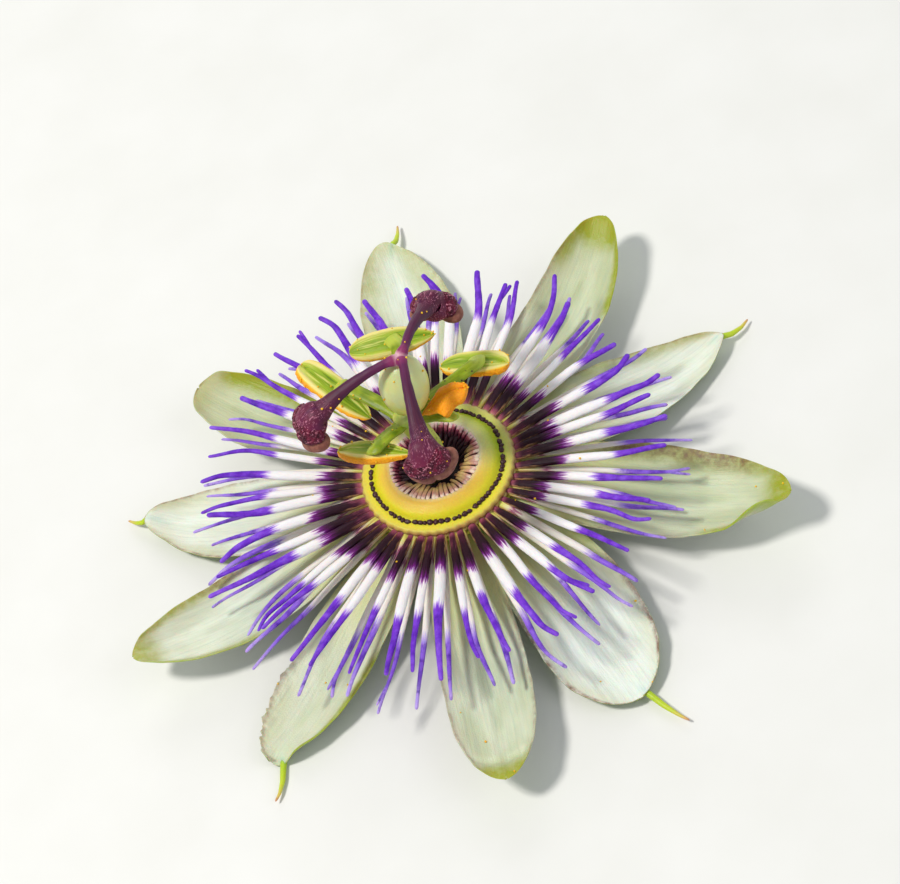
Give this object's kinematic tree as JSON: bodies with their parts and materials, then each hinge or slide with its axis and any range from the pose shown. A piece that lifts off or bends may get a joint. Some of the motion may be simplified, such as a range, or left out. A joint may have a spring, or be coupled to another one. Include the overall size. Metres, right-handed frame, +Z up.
{
  "type": "passion flower",
  "caption": "Open passion flower, picked with a stub of stalk: pale sepals and petals, banded violet corona filaments, green stamens and a raised ovary with maroon styles.",
  "frame": {"origin": "middle of the flower's outline seen from above, on the surface that it rests on", "axes": "+Z up along the axis of the flower, from its stalk to its styles; -Y is the side that the picture is taken from"},
  "size_m": [0.095, 0.094, 0.0365],
  "materials": {
    "sepal": "satin, pale greenish white with a greener back and horn",
    "petal": "satin, near white with olive green tips",
    "bract": "satin leaf green with pale veins",
    "stalk": "satin green",
    "cup": "matte pale green",
    "corona": "satin, banded dark maroon, white and violet",
    "disc": "smooth waxy yellow green",
    "dark_fringe": "matte dark maroon",
    "stamen": "satin light green with purple specks",
    "anther": "green back with powdery orange pollen",
    "ovary": "smooth waxy pale green",
    "style": "satin dark purple",
    "stigma": "grainy maroon purple"
  },
  "bodies": {
    "root": {"anther_1": "anther", "anther_2": "anther", "anther_3": "anther", "anther_4": "anther", "anther_5": "anther", "bract_1": "bract", "bract_2": "bract", "bract_3": "bract", "column": "ovary", "corona_disc": "disc", "corona_inner_row": "dark_fringe", "corona_lower_row": "corona", "corona_upper_row": "corona", "floral_cup": "cup", "operculum": "dark_fringe", "ovary": "ovary", "petal_1": "petal", "petal_2": "petal", "petal_3": "petal", "petal_4": "petal", "petal_5": "petal", "sepal_1": "sepal", "sepal_2": "sepal", "sepal_3": "sepal", "sepal_4": "sepal", "sepal_5": "sepal", "stalk": "stalk", "stamen_filament_1": "stamen", "stamen_filament_2": "stamen", "stamen_filament_3": "stamen", "stamen_filament_4": "stamen", "stamen_filament_5": "stamen", "stigma_1": "stigma", "stigma_2": "stigma", "stigma_3": "stigma", "style_1": "style", "style_2": "style", "style_3": "style"}
  },
  "joints": []
}
